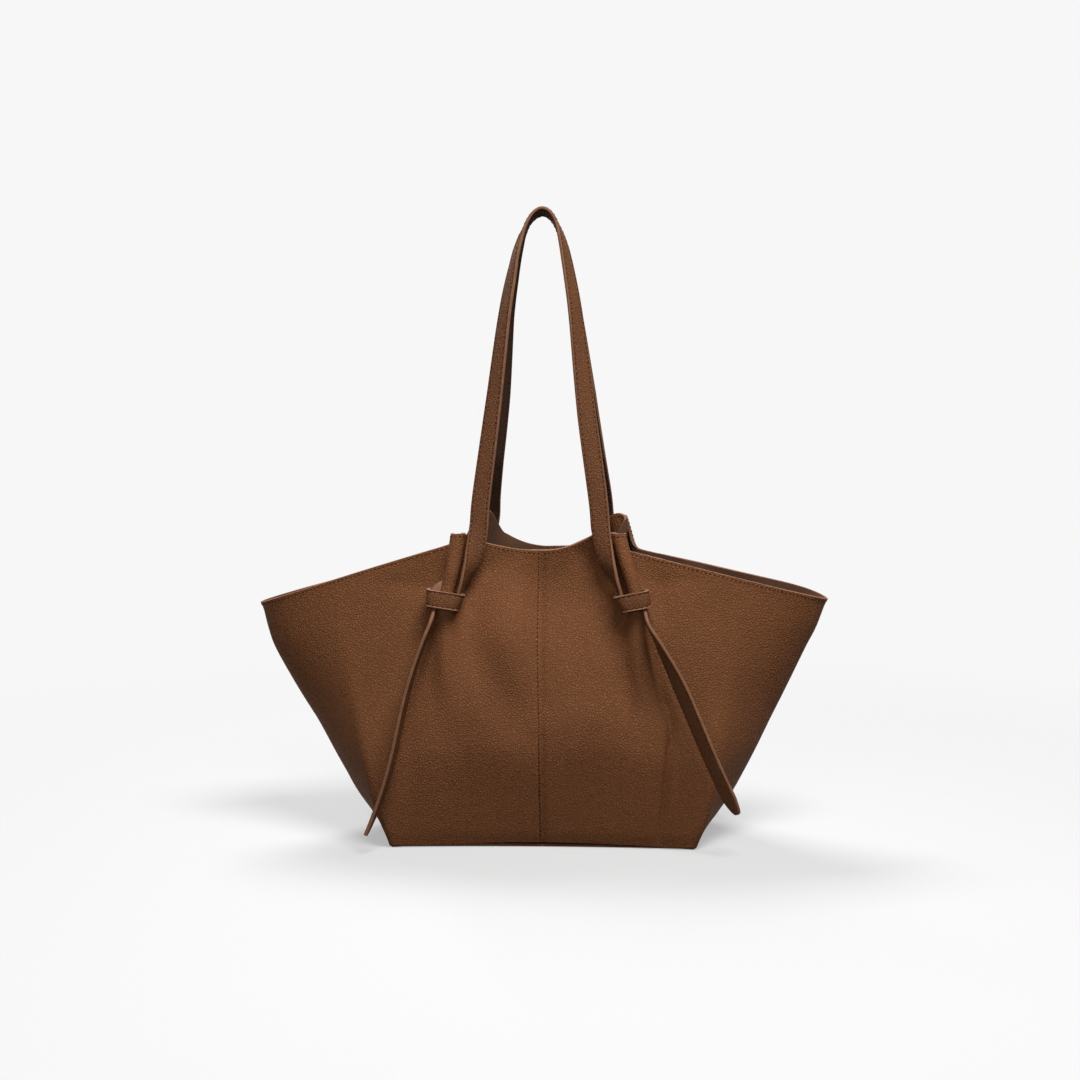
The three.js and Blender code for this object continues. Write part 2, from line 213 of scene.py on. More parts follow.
# Bulge of the narrow sides: part of the height, and how far the wall stands out
SIDE_BULGE = {
    "left": [
        (0, 0), (0.033, 1), (0.12, 7.5), (0.2, 10.5), (0.3, 9.8), (0.46, 9.6), (0.63, 11.2), (0.8, 10.5),
        (0.89, 6.3), (0.97, 0.7), (1, 0),
    ],
    "right": [
        (0, 0), (0.033, 2.5), (0.08, 7.5), (0.12, 10), (0.2, 12), (0.29, 11.6), (0.46, 10), (0.63, 7.6),
        (0.8, 4.6), (0.88, 3.8), (0.97, 0.3), (1, 0),
    ],
}
SIDE_BULGE_START = 0.45

# Pleats
PLEAT_X = 70.0
# Half of the pleat's fold: distance from its middle line, and how far it stands out
PLEAT_FOLD = [
    (22, 0), (14, 0.2), (7.4, 1.0), (4.4, 3.2), (4.4, 6.4), (5.8, 9.8), (6.4, 13), (5.6, 16.4), (3.3, 19),
    (0, 20),
]
PLEAT_HALF_WIDTH = PLEAT_FOLD[0][0]
PLEAT_DEPTH = PLEAT_FOLD[-1][1]
# How far the pleat is pulled outward: part of the height, and shift
PLEAT_SHIFT = [
    (0, 0), (0.3, 0), (0.39, 2), (0.5, 8), (0.6, 13.5), (0.72, 19), (0.8, 16), (0.9, 7), (1, 0),
]
# Heights between which the pleat closes, part of that closing at which its sides draw together, heights
# between which the ear opens a little, and the ear's depth as a part of the pleat's
PLEAT_CLOSING = (190.0, 220.0)
PLEAT_PINCH = 0.6
EAR_OPENING = (245.0, 290.0)
EAR_DEPTH_RATIO = 0.8
# Part of the height from which the ear moves to its own place, and height above the knot from which it
# leans
EAR_PLACE_ROW = 0.86
EAR_LEAN_START = 8.0

# Soft folds of a quarter: from (|x|, z) to (|x|, z), half width, depth
FOLDS = {
    "left": [
        (82, 222, 84, 120, 9, -3.6),
        (70, 198, 0, 84, 18, 2.6),
        (104, 208, 126, 60, 12, 3.0),
        (99, 232, 152, 236, 8, 1.2),
        (28, 262, 60, 238, 9, 1.6),
    ],
    "right": [
        (82, 222, 86, 130, 8, -3.4),
        (61, 224, 80, 116, 12, 6.2),
        (96, 186, 118, 92, 3.4, 4.4),
        (115, 120, 101, -10, 3.2, 4.4),
        (124, 170, 114, 10, 8, -1.6),
        (100, 236, 148, 240, 8, 1.0),
        (34, 268, 64, 224, 10, 4.0),
    ],
}
# Parts of a fold's length over which it comes and goes
FOLD_RISE = (-0.15, 0.2)
FOLD_FALL = (0.55, 1.15)

# Stitches
BODY_PITCH = 3.9
STRAP_PITCH = 4.4
STITCH_LENGTH = 2.0
# Beads are wider than the thread itself, so their dark colour also paints the shade in the stitch holes
STITCH_HALF_WIDTH = 0.62
STITCH_SINK = 0.2
STITCH_SIDES = 5
# How far before and after a stitch its direction is read
STITCH_REACH = 0.4
# Thickness of the seam stitches, their first row of the wall, and the rim stitches' distance from the seam.
# The thicker seam beads also paint the shade along the lapped seam.
SEAM_STITCH_SIZE = 1.35
SEAM_STITCH_START = 3
RIM_STITCH_START = 1.0
# Rings of one stitch: place along it, and radius
STITCH_RINGS = [(-0.5, 0.35), (-0.28, 0.95), (0.28, 0.95), (0.5, 0.35)]

# Straps
STRAP_HALF_WIDTH = 8.5
STRAP_HALF_THICKNESS = 1.6
STRAP_CROWN = 0.14
BAND_CROWN = 0.35
BAND_LIP = 0.6
STITCH_INSET = 2.1
STITCH_GROOVE = 0.24
STITCH_GROOVE_HALF_WIDTH = 0.35
# Material slots of a strap
FACE, EDGE, LINING = 0, 1, 2

# Handles: sideways lean as height and shift, and how far each stands out as height and shift. The rear one
# passes outside the ears, which lie in its way.
HANDLES = {
    "front": {
        "lean": [(240, 0), (285, -1), (380, -2.2), (520, -2.4), (562, -0.8)],
        "out": [(200, 0), (600, 0)],
    },
    "rear": {
        "lean": [(240, 0), (330, 1.2), (400, 1.8), (470, 4), (540, 4), (562, 1.5)],
        "out": [
            (200, 0), (238, 0), (250, 6), (264, 10.5), (286, 12.5), (304, 9), (332, 2), (360, 0), (600, 0),
        ],
    },
}
# Handle legs from the knot up: distance from the middle, y, z, width, and how far the outer face of the
# left and the right leg turns from the front to the side
HANDLE_PATH = [
    (71.2, -62.6, 220, 0.7, -84, -84), (69.4, -62.4, 230, 0.82, -80, -80), (65.2, -61.2, 241, 1, -70, -72),
    (58.5, -59, 257.5, 1, -34, -38), (53.5, -53, 283, 1, 8, -12), (51, -48.5, 311, 1, 15, -6),
    (41, -37, 387, 1, 32, 20), (32, -26, 464, 1, 50, 48), (26, -19, 502, 1, 60, 60),
    (20, -14.5, 530, 1, 78, 72), (11.5, -11.3, 552, 1, 97, 94), (0, -10.6, 560.6, 1, 109, 109),
]
HANDLE_STEPS = 12

# Tails: start inside the knot, length of the pointed end there, how many stations of it are bare and at
# which the stitches start, outward bow, wave out and back in, tip, turn of the edge at the tip, how far
# below the top it is reached, and length, width and slant of the cut
TAILS = {
    -1: {
        "start": [(-85.2, -56.5, 238.6), (-88.4, -60, 233.6), (-91, -62.6, 228), (-91.2, -63.8, 221),
                  (-91.6, -65.4, 214.5)],
        "flap": 15, "bare": 14, "sewn_from": 32,
        "bow": 0, "wave": 2.6, "tip": (-150, -81.5, 18), "turn": 7, "turned_by": 80,
        "cut": 26, "point": 0.12, "skew": 1.0,
    },
    1: {
        "start": [(88.4, -62.5, 222), (91, -65.4, 214.5)],
        "flap": 1, "bare": 0, "sewn_from": 20,
        "bow": 2, "wave": 1.2, "tip": (171.5, -80, 40), "turn": 48, "turned_by": 64,
        "cut": 15, "point": 0.3, "skew": 0.25,
    },
}
TAIL_TOP = (94.0, -71.4, 204.5)
# How far the middle of a tail is pushed out by the belly behind it
TAIL_PUSH = 5.5
TAIL_POINTS = 13
TAIL_STEPS = 6
TAIL_SEWN_TO = -22
TAIL_CUT_POWER = 0.6
TAIL_FLAP_POINT = 0.06
# Turn of the edge at the top, how far above the top it starts to change, and the further turn in the knot
TAIL_TOP_TURN = 4.0
TAIL_TURN_ABOVE = 15.0
TAIL_KNOT_TURN = 74.0
TAIL_KNOT_TURN_Z = (214.0, 234.0)
# Width of a tail where the knot squeezes it, and the heights over which it narrows to that
TAIL_SQUEEZE = 0.52
TAIL_SQUEEZE_Z = (188.0, 216.0)

# Knots
KNOT_Y = -62.4
KNOT_Z = 223.0
KNOT_HALF_Y = 8.3
KNOT_WIDTH = 0.9
KNOT_STEPS = 72
KNOT_SQUARENESS = 3.2
KNOT_SLIDE = 2.0
# How much the knot narrows the pleat in it, and over what height
KNOT_CINCH = 0.12
KNOT_CINCH_HEIGHT = 17.0
# Middle, half width, tilt of the band, slant of its inner and outer end, and forward lean of its lower edge
KNOTS = {
    -1: {"x": 83.3, "half_x": 14.1, "tilt": 8.0, "inner_slant": 7.5, "outer_slant": 0.4, "pitch": 0.16},
    1: {"x": 80.5, "half_x": 12.8, "tilt": 10.0, "inner_slant": 11.0, "outer_slant": 2.5, "pitch": 0.06},
}


# Numbers

def smooth(low, high, value):
    t = np.clip((np.asarray(value, float) - low) / (high - low), 0.0, 1.0)
    return t * t * (3.0 - 2.0 * t)


def mix(a, b, t):
    return a + (b - a) * t


def spline(points, per_gap):
    """Points of a Catmull-Rom curve through the rows of an array."""
    p = np.asarray(points, float)
    p = np.vstack([2 * p[0] - p[1], p, 2 * p[-1] - p[-2]])
    t = np.linspace(0.0, 1.0, per_gap, endpoint=False)[:, None]
    pieces = []
    for a, b, c, d in zip(p[:-3], p[1:-2], p[2:-1], p[3:]):
        pieces.append(0.5 * (2 * b + (c - a) * t + (2 * a - 5 * b + 4 * c - d) * t ** 2
                             + (3 * b - a - 3 * c + d) * t ** 3))
    return np.vstack(pieces + [p[-2:-1]])


def profile(points, value):
    """Smooth curve through points of place and size, read at a place."""
    place, size = spline(points, PROFILE_STEPS).T
    return np.interp(value, place, size)


def unit(vectors):
    return vectors / np.linalg.norm(vectors, axis=-1, keepdims=True)


def along_length(points):
    steps = np.linalg.norm(np.diff(points, axis=0), axis=1)
    return np.concatenate([[0.0], np.cumsum(steps)])


def read_along(points, length, where):
    """Points of a line at some distances along it."""
    return np.column_stack([np.interp(where, length, column) for column in points.T])


def half_turn(points):
    return points * np.array([-1.0, -1.0, 1.0])


def twisted(points, angle):
    """Points turned about Z by an angle in degrees, one for all of them or one for each row."""
    turn = np.radians(angle)
    x, y, z = np.moveaxis(points, -1, 0)
    return np.stack([x * np.cos(turn) - y * np.sin(turn), x * np.sin(turn) + y * np.cos(turn), z], axis=-1)


# Meshes

def add_mesh(name, points, faces, materials, face_slots=None, sharp=45.0):
    mesh = bpy.data.meshes.new(name)
    mesh.from_pydata((np.asarray(points, float) * MM).tolist(), [], faces)
    for material in materials:
        mesh.materials.append(material)
    if face_slots is not None:
        mesh.polygons.foreach_set("material_index", np.asarray(face_slots, np.int32))
    mesh.polygons.foreach_set("use_smooth", np.ones(len(faces), bool))
    mesh.set_sharp_from_angle(angle=math.radians(sharp))
    mesh.validate()
    piece = bpy.data.objects.new(name, mesh)
    bpy.context.scene.collection.objects.link(piece)
    return piece


def grid_faces(rows, columns, start=0, flip=False, wrap=False):
    faces = []
    for r in range(rows - 1):
        for c in range(columns if wrap else columns - 1):
            a = start + r * columns + c
            b = start + r * columns + (c + 1) % columns
            quad = (a, b, b + columns, a + columns)
            faces.append(quad[::-1] if flip else quad)
    return faces


def end_caps(rows, columns, start=0):
    """Faces that close the first and the last row of a tube."""
    last = start + (rows - 1) * columns
    return [tuple(range(start + columns - 1, start - 1, -1)), tuple(range(last, last + columns))]


def grid_normals(grid):
    along = np.gradient(grid, axis=1)
    up = np.gradient(grid, axis=0)
    return unit(np.cross(along, up))


def shell_edges(rows, columns, flip):
    """Faces that join the two sides of a shell along its rounded top edge, its foot and its ends."""
    size = rows * columns
    last = (rows - 1) * columns
    top = [last] + [2 * size + k * columns for k in range(len(EDGE_PARTS))] + [size + last]
    faces = []
    for below, above in list(zip(top[:-1], top[1:])) + [(size, 0)]:
        for c in range(columns - 1):
            quad = (below + c, below + c + 1, above + c + 1, above + c)
            faces.append(quad[::-1] if flip else quad)
    for column, turn in ((0, not flip), (columns - 1, flip)):
        for r in range(rows - 1):
            a, b = r * columns + column, (r + 1) * columns + column
            quad = (a, a + size, b + size, b)
            faces.append(quad[::-1] if turn else quad)
        cap = [start + column for start in top]
        faces.append(tuple(cap if turn else cap[::-1]))
    return faces


def shell_mesh(name, outer, inner, side, rise, materials):
    """Closed thin shell: outer face, inner face, a rounded top edge and plain other edges."""
    rows, columns = outer.shape[:2]
    flip = side < 0
    top = [mix(outer[-1], inner[-1], t) + [0, 0, rise * math.sin(math.pi * t)] for t in EDGE_PARTS]
    points = np.vstack([outer.reshape(-1, 3), inner.reshape(-1, 3)] + top)
    outside = grid_faces(rows, columns, 0, flip)
    inside = grid_faces(rows, columns, rows * columns, not flip)
    edges = shell_edges(rows, columns, flip)
    slots = [0] * len(outside) + [1] * len(inside) + [2] * len(edges)
    return add_mesh(name, points, outside + inside + edges, materials, slots)


# Walls

def base_outline():
    """One quarter of the base outline, middle of the front edge to middle of the side."""
    bend = BASE_HALF_WIDTH - BASE_CORNER
    t = np.linspace(0.0, 1.0, BASE_EDGE_POINTS)
    edge = np.column_stack([
        2 * t * (1 - t) * bend / 2 + t ** 2 * bend,
        -BASE_HALF_DEPTH + BASE_BOW * (1 - t ** 2),
    ])
    angle = np.linspace(-math.pi / 2, 0.0, BASE_CORNER_POINTS)
    corner = np.column_stack([
        bend + BASE_CORNER * np.cos(angle),
        -BASE_HALF_DEPTH + BASE_CORNER + BASE_CORNER * np.sin(angle),
    ])
    return np.vstack([edge, corner[1:], [[BASE_HALF_WIDTH, 0.0]]])


def middle_columns(under, rim):
    """Columns at the rim between the seam and the pleat."""
    root_x = rim["ear_x"] - PLEAT_HALF_WIDTH
    spread = np.linspace(MIDDLE_START, root_x, MIDDLE_COLUMNS, endpoint=False)
    x = np.array((LAP_COLUMNS if under else []) + SEAM_COLUMNS + list(spread))
    t = x / root_x
    none = np.zeros_like(x)
    return np.column_stack([
        x, mix(RIM_MIDDLE_Y, ROOT_INNER_Y, t), mix(rim["middle"], rim["inner"], t * t),
        none, none, none, np.clip(t, 0.0, 1.0),
    ])


def pleat_columns(rim, tip):
    """Columns at the rim through the fold of the pleat, whose rim rises to the ear."""
    half = [(-away, out) for away, out in PLEAT_FOLD]
    fold = spline(half + [(-away, out) for away, out in half[-2::-1]], PLEAT_STEPS)
    away, out = fold.T
    length = along_length(fold)
    t = length / length[-1]
    flat = mix(-PLEAT_HALF_WIDTH, PLEAT_HALF_WIDTH, t)
    inner_z = mix(rim["inner"], rim["ear"], smooth(flat[0], rim["rise"], flat))
    slope = (rim["outer"] - tip["z"]) / (tip["x"] - rim["ear_x"] - PLEAT_HALF_WIDTH)
    root_z = rim["outer"] + slope * (PLEAT_HALF_WIDTH - away)
    outer_z = mix(root_z, rim["ear"], smooth(0.0, EAR_RISE_DEPTH, out))
    drop = rim["drop"] * (np.maximum(out, 0.0) / PLEAT_DEPTH) ** EAR_DROP_POWER
    return np.column_stack([
        rim["ear_x"] + away,
        mix(ROOT_INNER_Y, ROOT_OUTER_Y, t),
        np.where(flat < 0, inner_z, outer_z) - drop,
        away, out, flat, np.ones_like(away),
    ])


def wing_columns(rim, tip):
    """Columns at the rim from the pleat out to the wing tip."""
    t = np.sin(np.linspace(0.0, math.pi / 2, WING_COLUMNS + 1)[1:])
    none = np.zeros_like(t)
    rise = rim["crown"] * 4 * t * (1 - t) + rim["flare"] * FLARE_SCALE * t ** 6 * (1 - t)
    return np.column_stack([
        mix(rim["ear_x"] + PLEAT_HALF_WIDTH, tip["x"], t),
        ROOT_OUTER_Y * np.sqrt(np.clip(1 - t ** tip["power"], 0.0, 1.0)),
        mix(rim["outer"], tip["z"], t) + rise,
        none, none, none, np.clip(1 - 2 * t, 0.0, 1.0),
    ])


def wall_columns(under, rim, tip):
    """Columns of one quarter: place at the rim, fold distance and depth, unfolded distance, pleat shift."""
    return np.vstack([middle_columns(under, rim), pleat_columns(rim, tip), wing_columns(rim, tip)])


def wall_feet(columns):
    """Where each column meets the base outline, spread by its distance along the leather."""
    plan = np.column_stack([columns[:, 0], columns[:, 1] - columns[:, 4]])
    length = along_length(plan)
    start = np.interp(0.0, columns[:, 0], length)
    part = np.clip((length - start) / (length[-1] - start), 0.0, 1.0)
    outline = base_outline()
    outline_length = along_length(outline)
    foot = read_along(outline, outline_length, part * outline_length[-1])
    foot[:, 0] += np.minimum(columns[:, 0], 0.0)
    return foot, part


def wall_heights():
    return np.array(FOOT_ROWS + list(np.linspace(*PLAIN_ROWS)) + RIM_ROWS)


def fold_amount(z):
    """How far the pleat's fold stands out at a height, as a part of its depth."""
    return smooth(*PLEAT_CLOSING, z) * mix(1.0, EAR_DEPTH_RATIO, smooth(*EAR_OPENING, z))


def pleat_push(v, z, out, shift, rim):
    """Sideways shift of the pleat and of the ear above it."""
    ear_place = (PLEAT_X - rim["ear_x"]) * v * (1 - smooth(EAR_PLACE_ROW, 1.0, v))
    lean = rim["lean"] * out / PLEAT_DEPTH * smooth(KNOT_Z + EAR_LEAN_START, rim["ear"], z)
    return (profile(PLEAT_SHIFT, v) + ear_place) * shift + lean


def belly_depth(v, x, part, kind):
    """How far the wall stands out from a straight one."""
    belly = mix(profile(BELLY, v), profile(HUNG_BELLY, v), profile(HUNG[kind], x))
    belly = mix(belly, profile(WING_BELLY, v), smooth(*WING_BLEND, x))
    fade = mix(LOW_BELLY_FADE, BELLY_FADE, smooth(*BELLY_FADE_ROWS, v))
    return belly * np.clip(1 - fade * part ** 2, 0.0, 1.0)


def quarter_wall(under, rim, side, kind):
    """Grid of points of the plain outer wall in the right front quarter, rows from base to rim."""
    columns = wall_columns(under, rim, WING_TIP[side])
    foot, part = wall_feet(columns)
    x_rim, y_rim, z_rim, away, out, flat, shift = columns.T
    v = wall_heights()[:, None]
    foot_z = FOOT_HEIGHT + FOOT_RISE * (1 - (foot[:, 0] / BASE_HALF_WIDTH) ** 2)
    z = mix(foot_z, z_rim[None, :], v)
    open_part = 1 - smooth(PLEAT_PINCH, 1.0, smooth(*PLEAT_CLOSING, z))
    cinch = KNOT_CINCH * np.exp(-((z - KNOT_Z) / KNOT_CINCH_HEIGHT) ** 2) * out / PLEAT_DEPTH
    bulge = profile(SIDE_BULGE[side], v) * smooth(SIDE_BULGE_START, 1.0, part)
    x = mix(foot[:, 0], x_rim + (flat - away) * open_part, v)
    x = x + pleat_push(v, z, out, shift, rim) + bulge - away * cinch
    belly = belly_depth(v, x, part, kind)
    wing = smooth(*LIP_START, part) * (1 - smooth(*LIP_END, part))
    lip = LIP * np.clip(1 - (z_rim - z) / LIP_HEIGHT, 0.0, 1.0) ** 2 * wing
    fold = fold_amount(z) * out * (1 - np.maximum(belly, 0.0) / PLEAT_DEPTH)
    y = mix(foot[:, 1], y_rim, v) - belly - lip - fold
    return np.stack([x, y, z], axis=-1)


def line_dent(x, z, line):
    """Soft valley along a line in the front view, fading at both ends."""
    x0, z0, x1, z1, width, depth = line
    dx, dz = x1 - x0, z1 - z0
    size = math.hypot(dx, dz)
    t = ((x - x0) * dx + (z - z0) * dz) / size ** 2
    off = ((x - x0) * dz - (z - z0) * dx) / size
    return depth * np.exp(-(off / width) ** 2) * smooth(*FOLD_RISE, t) * (1 - smooth(*FOLD_FALL, t))


def seam_valley(x, z):
    shape = SEAM_VALLEY["depth"] * np.exp(-(x / SEAM_VALLEY["half_width"]) ** 2)
    return shape * smooth(*SEAM_VALLEY["rise"], z) * (1 - smooth(*SEAM_VALLEY["fall"], z))


def foot_turn(z, normal):
    """How far the foot of the wall turns in: a rolled lower edge, and a tuck above it at front and rear."""
    roll = np.clip(BASE_ROLL - z, 0.0, BASE_ROLL)
    rolled = BASE_ROLL - np.sqrt(BASE_ROLL ** 2 - roll ** 2)
    return rolled + FOOT_TUCK * (1 - smooth(0.0, FOOT_TUCK_HEIGHT, z)) * normal[..., 1] ** 2


def lap_depth(x, under):
    """How far the lapped edge lies in: a step under the other half, or a round edge and a stitch groove."""
    if under:
        return LAP_STEP * (1 - smooth(*LAP_RAMP, x)) + (LAP_SINK - LAP_STEP) * smooth(0.0, LAP, -x)
    groove = SEAM_GROOVE * np.exp(-((x - SEAM_ROW) / SEAM_GROOVE_WIDTH) ** 2)
    return SEAM_EDGE_ROUND * (1 - smooth(*SEAM_EDGE_RAMP, x)) + groove


def shaped_quarter(under, rim, side, kind):
    """Quarter wall with its soft folds, bulges, turned-in foot and lapped edge."""
    grid = quarter_wall(under, rim, side, kind)
    x, z = grid[..., 0], grid[..., 2]
    normal = grid_normals(grid)
    inward = sum(line_dent(x, z, line) for line in FOLDS[kind])
    inward = inward + seam_valley(x, z) + foot_turn(z, normal) + lap_depth(x, under)
    flat = normal * np.array([1.0, 1.0, 0.0])
    return grid - unit(flat) * inward[..., None]


def half_wall(side):
    """Outer wall of the left (-1) or right (1) half, from the front seam round to the rear seam."""
    name = SIDES[side]
    front = shaped_quarter(side > 0, RIMS[f"front_{name}"], name, name)
    rear = shaped_quarter(side < 0, RIMS[f"rear_{name}"], name, SIDES[-side])
    front = front * np.array([side, 1.0, 1.0])
    rear = rear * np.array([side, -1.0, 1.0])
    return np.concatenate([front, rear[:, -2::-1]], axis=1)


def wall_thickness(outer, side):
    """Leather thickness, skived thin at the half's overlapping edge."""
    over = outer[..., 1] * side > 0
    skived = mix(LAP_STEP - LAP_GAP, LEATHER, smooth(0.0, SKIVE_WIDTH, np.abs(outer[..., 0])))
    return np.where(over, skived, LEATHER)


def add_half(side, looks):
    name = SIDES[side]
    straight = half_wall(side)
    outer = twisted(straight, BASE_TWIST * (1 - wall_heights())[:, None])
    normal = grid_normals(outer) * side
    inner = outer - normal * wall_thickness(straight, side)[..., None]
    materials = [looks["leather"], looks["suede"], looks["edge"]]
    panel = shell_mesh(f"{name}_panel", outer, inner, side, PANEL_EDGE_RISE, materials)
    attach(panel, "bag")
    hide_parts(f"{name}_body_panel")
    add_facing(side, outer, normal, looks)
    add_wall_stitches(side, outer, normal, looks)


def facing_offset(outer):
    """Distance from the outer wall to the facing, which passes over the lapped seams."""
    over_lap = 1 - smooth(*FACING_LAP_RAMP, np.abs(outer[..., 0]))
    return LEATHER + FACING_GAP + (LAP_SINK + FACING_LAP_GAP) * over_lap


def add_facing(side, outer, normal, looks):
    name = SIDES[side]
    drop = outer[-1:, :, 2] - outer[..., 2]
    rows = np.nonzero(drop.max(axis=1) < FACING_HEIGHT)[0]
    keep = np.nonzero(outer[-1, :, 0] * side >= -SEAM_TOLERANCE)[0]
    part = np.ix_(rows, keep)
    outside = outer[part] - normal[part] * facing_offset(outer)[part][..., None]
    inside = outside - normal[part] * FACING
    materials = [looks["facing"], looks["facing"], looks["edge"]]
    facing = shell_mesh(f"{name}_facing", outside, inside, side, FACING_EDGE_RISE, materials)
    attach(facing, "bag")
    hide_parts(f"{name}_rim_facing")


# Stitches

def stitch_places(points, normals, pitch):
    """Evenly spaced stitch places along a line: middle, direction and surface normal."""
    length = along_length(points)
    count = max(1, int(length[-1] // pitch))
    where = (np.arange(count) + 0.5) * length[-1] / count
    at = read_along(points, length, where)
    out = unit(read_along(normals, length, where))
    ahead = read_along(points, length, where + STITCH_REACH)
    behind = read_along(points, length, where - STITCH_REACH)
    return at, unit(ahead - behind), out


def stitch_mesh(name, lines, pitch, material, thickness=1.0):
    """One mesh of thread: a small rounded bead for every stitch of every line."""
    angles = np.linspace(0, 2 * math.pi, STITCH_SIDES, endpoint=False)
    ring = [(math.cos(angle), math.sin(angle)) for angle in angles]
    radius = STITCH_HALF_WIDTH * thickness
    points, faces = [], []
    for line, normals in lines:
        at, ahead, out = stitch_places(line, normals, pitch)
        across = np.cross(ahead, out)
        for middle, direction, lift, aside in zip(at, ahead, out, across):
            start = len(points)
            for place, size in STITCH_RINGS:
                centre = middle + direction * place * STITCH_LENGTH
                points += [centre + (aside * c + lift * s) * size * radius for c, s in ring]
            faces += grid_faces(len(STITCH_RINGS), STITCH_SIDES, start, wrap=True)
            faces += end_caps(len(STITCH_RINGS), STITCH_SIDES, start)
    return add_mesh(name, np.array(points), faces, [material], sharp=80.0)


def add_wall_stitches(side, outer, normal, looks):
    """Rows along the rim and along the lapped edge of this half's front or rear seam."""
    name = SIDES[side]
    row = int(np.argmin(np.abs(wall_heights() - RIM_STITCH_ROW)))
    keep = outer[row, :, 0] * side > RIM_STITCH_START
    rim, rim_out = outer[row][keep], normal[row][keep]
    seam_column = SEAM_COLUMNS.index(SEAM_ROW)
    column = seam_column if side < 0 else -1 - seam_column
    seam = outer[SEAM_STITCH_START:row, column]
    seam_out = normal[SEAM_STITCH_START:row, column]
    rim_line = (rim - rim_out * STITCH_SINK, rim_out)
    seam_line = (seam - seam_out * STITCH_SINK, seam_out)
    rim_stitches = stitch_mesh(f"{name}_rim_stitches", [rim_line], BODY_PITCH, looks["thread"])
    seam_stitches = stitch_mesh(f"{name}_seam_stitches", [seam_line], BODY_PITCH, looks["thread"],
                                SEAM_STITCH_SIZE)
    for piece in (rim_stitches, seam_stitches):
        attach(piece, "bag")


# Base

def base_rings():
    """Rings of points of the base sheet, from the middle of its underside to the middle of its top."""
    quarter = base_outline()
    right = np.vstack([quarter, (quarter * [1, -1])[-2::-1]])
    loop = np.vstack([right, (right * [-1, 1])[-2:0:-1]])
    size = np.array([BASE_HALF_WIDTH, BASE_HALF_DEPTH])
    rings = [(loop * BASE_MIDDLE, BASE_RINGS[0][1])]
    rings += [(loop * (1 - inset / size), z) for inset, z in BASE_RINGS]
    rings += [(loop * BASE_MIDDLE, BASE_RINGS[-1][1])]
    return [twisted(np.column_stack([flat, np.full(len(flat), z)]), BASE_TWIST) for flat, z in rings]


def add_base(looks):
    rings = base_rings()
    count = len(rings[0])
    faces = grid_faces(len(rings), count, wrap=True) + end_caps(len(rings), count)
    base = add_mesh("base_sheet", np.vstack(rings), faces, [looks["leather"]], sharp=60.0)
    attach(base, "bag")
    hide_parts("base_panel")
    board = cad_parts["base_board"]
    board.data.materials.clear()
    board.data.materials.append(looks["board"])


# Straps

def strap_section(crown, lip):
    """Cross-section of the strap, across, out and slot, with stitch grooves and rounded painted edges."""
    w, h = STRAP_HALF_WIDTH, STRAP_HALF_THICKNESS
    sewn = STITCH_INSET - w
    face = [
        (-w + 0.65 - lip / 2, h - 0.2 + lip * 0.8),
        (-w + 1.3 - lip, h + lip),
        (sewn - STITCH_GROOVE_HALF_WIDTH, h - 0.1),
        (sewn, h - STITCH_GROOVE),
        (sewn + STITCH_GROOVE_HALF_WIDTH, h - 0.1),
        (-w + 2.9, h + 0.02),
        (-w * 0.45, h + crown * 0.75),
        (-w * 0.15, h + crown),
    ]
    face += [(-across, out) for across, out in face[::-1]]
    painted = 2 if lip else 0
    slots = [EDGE] * painted + [FACE] * (len(face) - 2 * painted - 1) + [EDGE] * (painted + 1)
    upper = [(across, out, slot) for (across, out), slot in zip(face, slots)]
    edge = [(w - 0.15, h - 0.75), (w, 0.45), (w - 0.18, 0.0), (w, -0.45), (w - 0.15, 0.75 - h)]
    lower = [(-across, -min(out, h + STRAP_CROWN), LINING) for across, out in face]
    lower[-1] = (*lower[-1][:2], EDGE)
    right = [(across, out, EDGE) for across, out in edge]
    left = [(-across, -out, EDGE) for across, out in edge]
    return upper + right + lower + left


def closing_faces(rows, columns):
    """Faces that join the last row of a closed band to its first."""
    last = (rows - 1) * columns
    return [(last + c, last + (c + 1) % columns, (c + 1) % columns, c) for c in range(columns)]


def strap_mesh(name, stations, looks, closed=False, bare=0):
    """Sweep the strap's section along stations of place, across, normal, width, and shift of the middle.

    The first rows, as many as bare says, show the cut leather of a pointed end.
    """
    section = strap_section(BAND_CROWN, BAND_LIP) if closed else strap_section(STRAP_CROWN, 0.0)
    across_at, out_at = np.array([point[:2] for point in section]).T
    around = [slot for _, _, slot in section]
    place, across, normal, width, slide = stations
    reach = across_at[None, :] * width[:, None] + slide[:, None]
    points = (place[:, None, :] + across[:, None, :] * reach[..., None]
              + normal[:, None, :] * out_at[None, :, None])
    rows, columns = points.shape[:2]
    slots = [EDGE] * (columns * bare) + around * (rows - 1 - bare)
    faces = grid_faces(rows, columns, wrap=True)
    if closed:
        faces += closing_faces(rows, columns)
        slots += around
    else:
        faces += end_caps(rows, columns)
        slots += [EDGE, EDGE]
    materials = [looks["strap"], looks["edge"], looks["lining"]]
    return add_mesh(name, points.reshape(-1, 3), faces, materials, slots, sharp=55.0)


def strap_stitch_lines(stations, start=0, stop=None, both=True):
    """Lines of the stitch rows near both edges of a strap, on its outer face and its lining."""
    place, across, normal, width, slide = (part[start:stop] for part in stations)
    lines = []
    for edge in (-1, 1):
        for face in ((1, -1) if both else (1,)):
            reach = edge * (STRAP_HALF_WIDTH - STITCH_INSET) * width + slide
            line = place + across * reach[:, None] + normal * face * (STRAP_HALF_THICKNESS - STITCH_SINK)
            lines.append((line, normal * face))
    return lines


def turned(stations):
    place, across, normal, width, slide = stations
    return half_turn(place), half_turn(across), half_turn(normal), width, slide


# Handles

